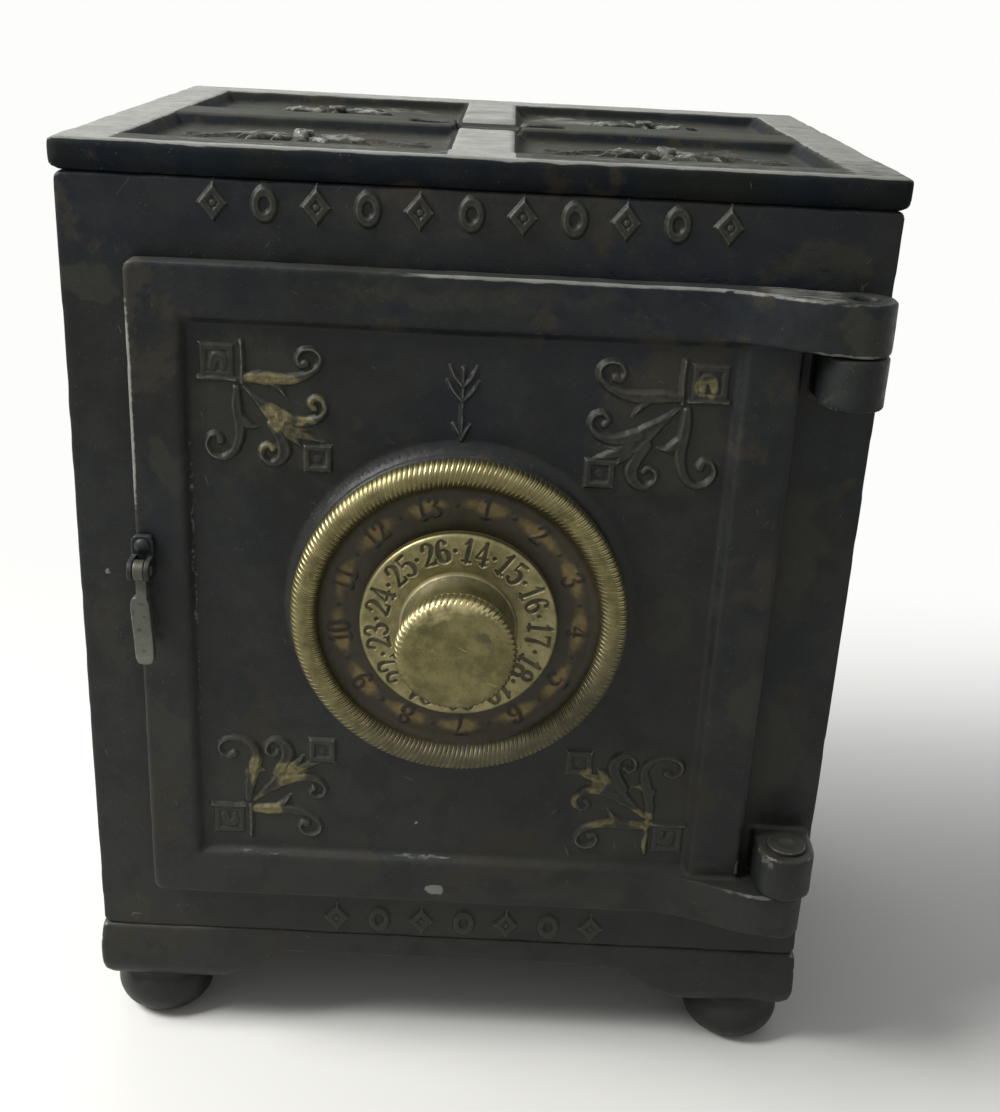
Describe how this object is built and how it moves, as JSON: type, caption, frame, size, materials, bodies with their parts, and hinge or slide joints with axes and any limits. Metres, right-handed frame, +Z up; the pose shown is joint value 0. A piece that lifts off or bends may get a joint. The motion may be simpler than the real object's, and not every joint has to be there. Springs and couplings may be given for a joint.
{
  "type": "safe coin bank",
  "caption": "Cast-iron toy safe on ball feet with a coin slot in the top, a hinged door, a drop handle and a double combination dial.",
  "frame": {"origin": "centre of the whole object's outline on the surface that it stands on", "axes": "+Z up, -Y towards the viewer of the door, +X to the viewer's right"},
  "size_m": [0.1216, 0.1174, 0.153],
  "materials": {
    "japanned_iron": "worn black japanning over cast iron, satin",
    "japanned_steel": "steel under worn black japanning",
    "plain_steel": "bare, dull with light rust",
    "handle_metal": "worn grey metal, tarnished",
    "dial_brass": "aged brass, satin, grime in the channel",
    "plain_brass": "dull aged brass"
  },
  "bodies": {
    "safe": {"base": "japanned_iron", "front_frame": "japanned_iron", "back_panel": "japanned_iron", "left_side": "japanned_iron", "right_side": "japanned_iron", "top_plate": "japanned_iron", "tie_rods": "plain_steel", "catch_bar": "plain_steel", "catch_screws": "plain_steel", "upper_hinge_pin": "plain_steel", "lower_hinge_pin": "japanned_steel"},
    "door": {"door": "japanned_iron", "handle_bracket": "japanned_iron", "handle_rivet": "japanned_steel", "handle_pin": "plain_steel"},
    "handle": {"drop_handle": "handle_metal"},
    "outer_dial": {"outer_dial": "dial_brass", "dial_sleeve": "plain_brass", "outer_lock_wheel": "plain_brass", "spring_washer": "plain_steel"},
    "inner_dial": {"inner_dial": "dial_brass", "knob": "dial_brass", "spindle": "plain_steel", "inner_lock_wheel": "plain_brass", "spindle_nut": "plain_steel"}
  },
  "joints": [
    {"name": "door_hinge", "type": "hinge", "parent": "safe", "child": "door", "pos_m": [0.0547, -0.04455, 0.084], "axis": [0, 0, 1], "range_deg": [0, 165]},
    {"name": "handle_swing", "type": "hinge", "parent": "door", "child": "handle", "pos_m": [-0.0488, -0.04605, 0.0909], "axis": [-1, 0, 0], "range_deg": [0, 80]},
    {"name": "outer_dial_turn", "type": "hinge", "parent": "door", "child": "outer_dial", "pos_m": [-0.0004, -0.04625, 0.0851], "axis": [0, 1, 0], "continuous": true},
    {"name": "inner_dial_turn", "type": "hinge", "parent": "door", "child": "inner_dial", "pos_m": [-0.0004, -0.04625, 0.0851], "axis": [0, 1, 0], "continuous": true}
  ]
}
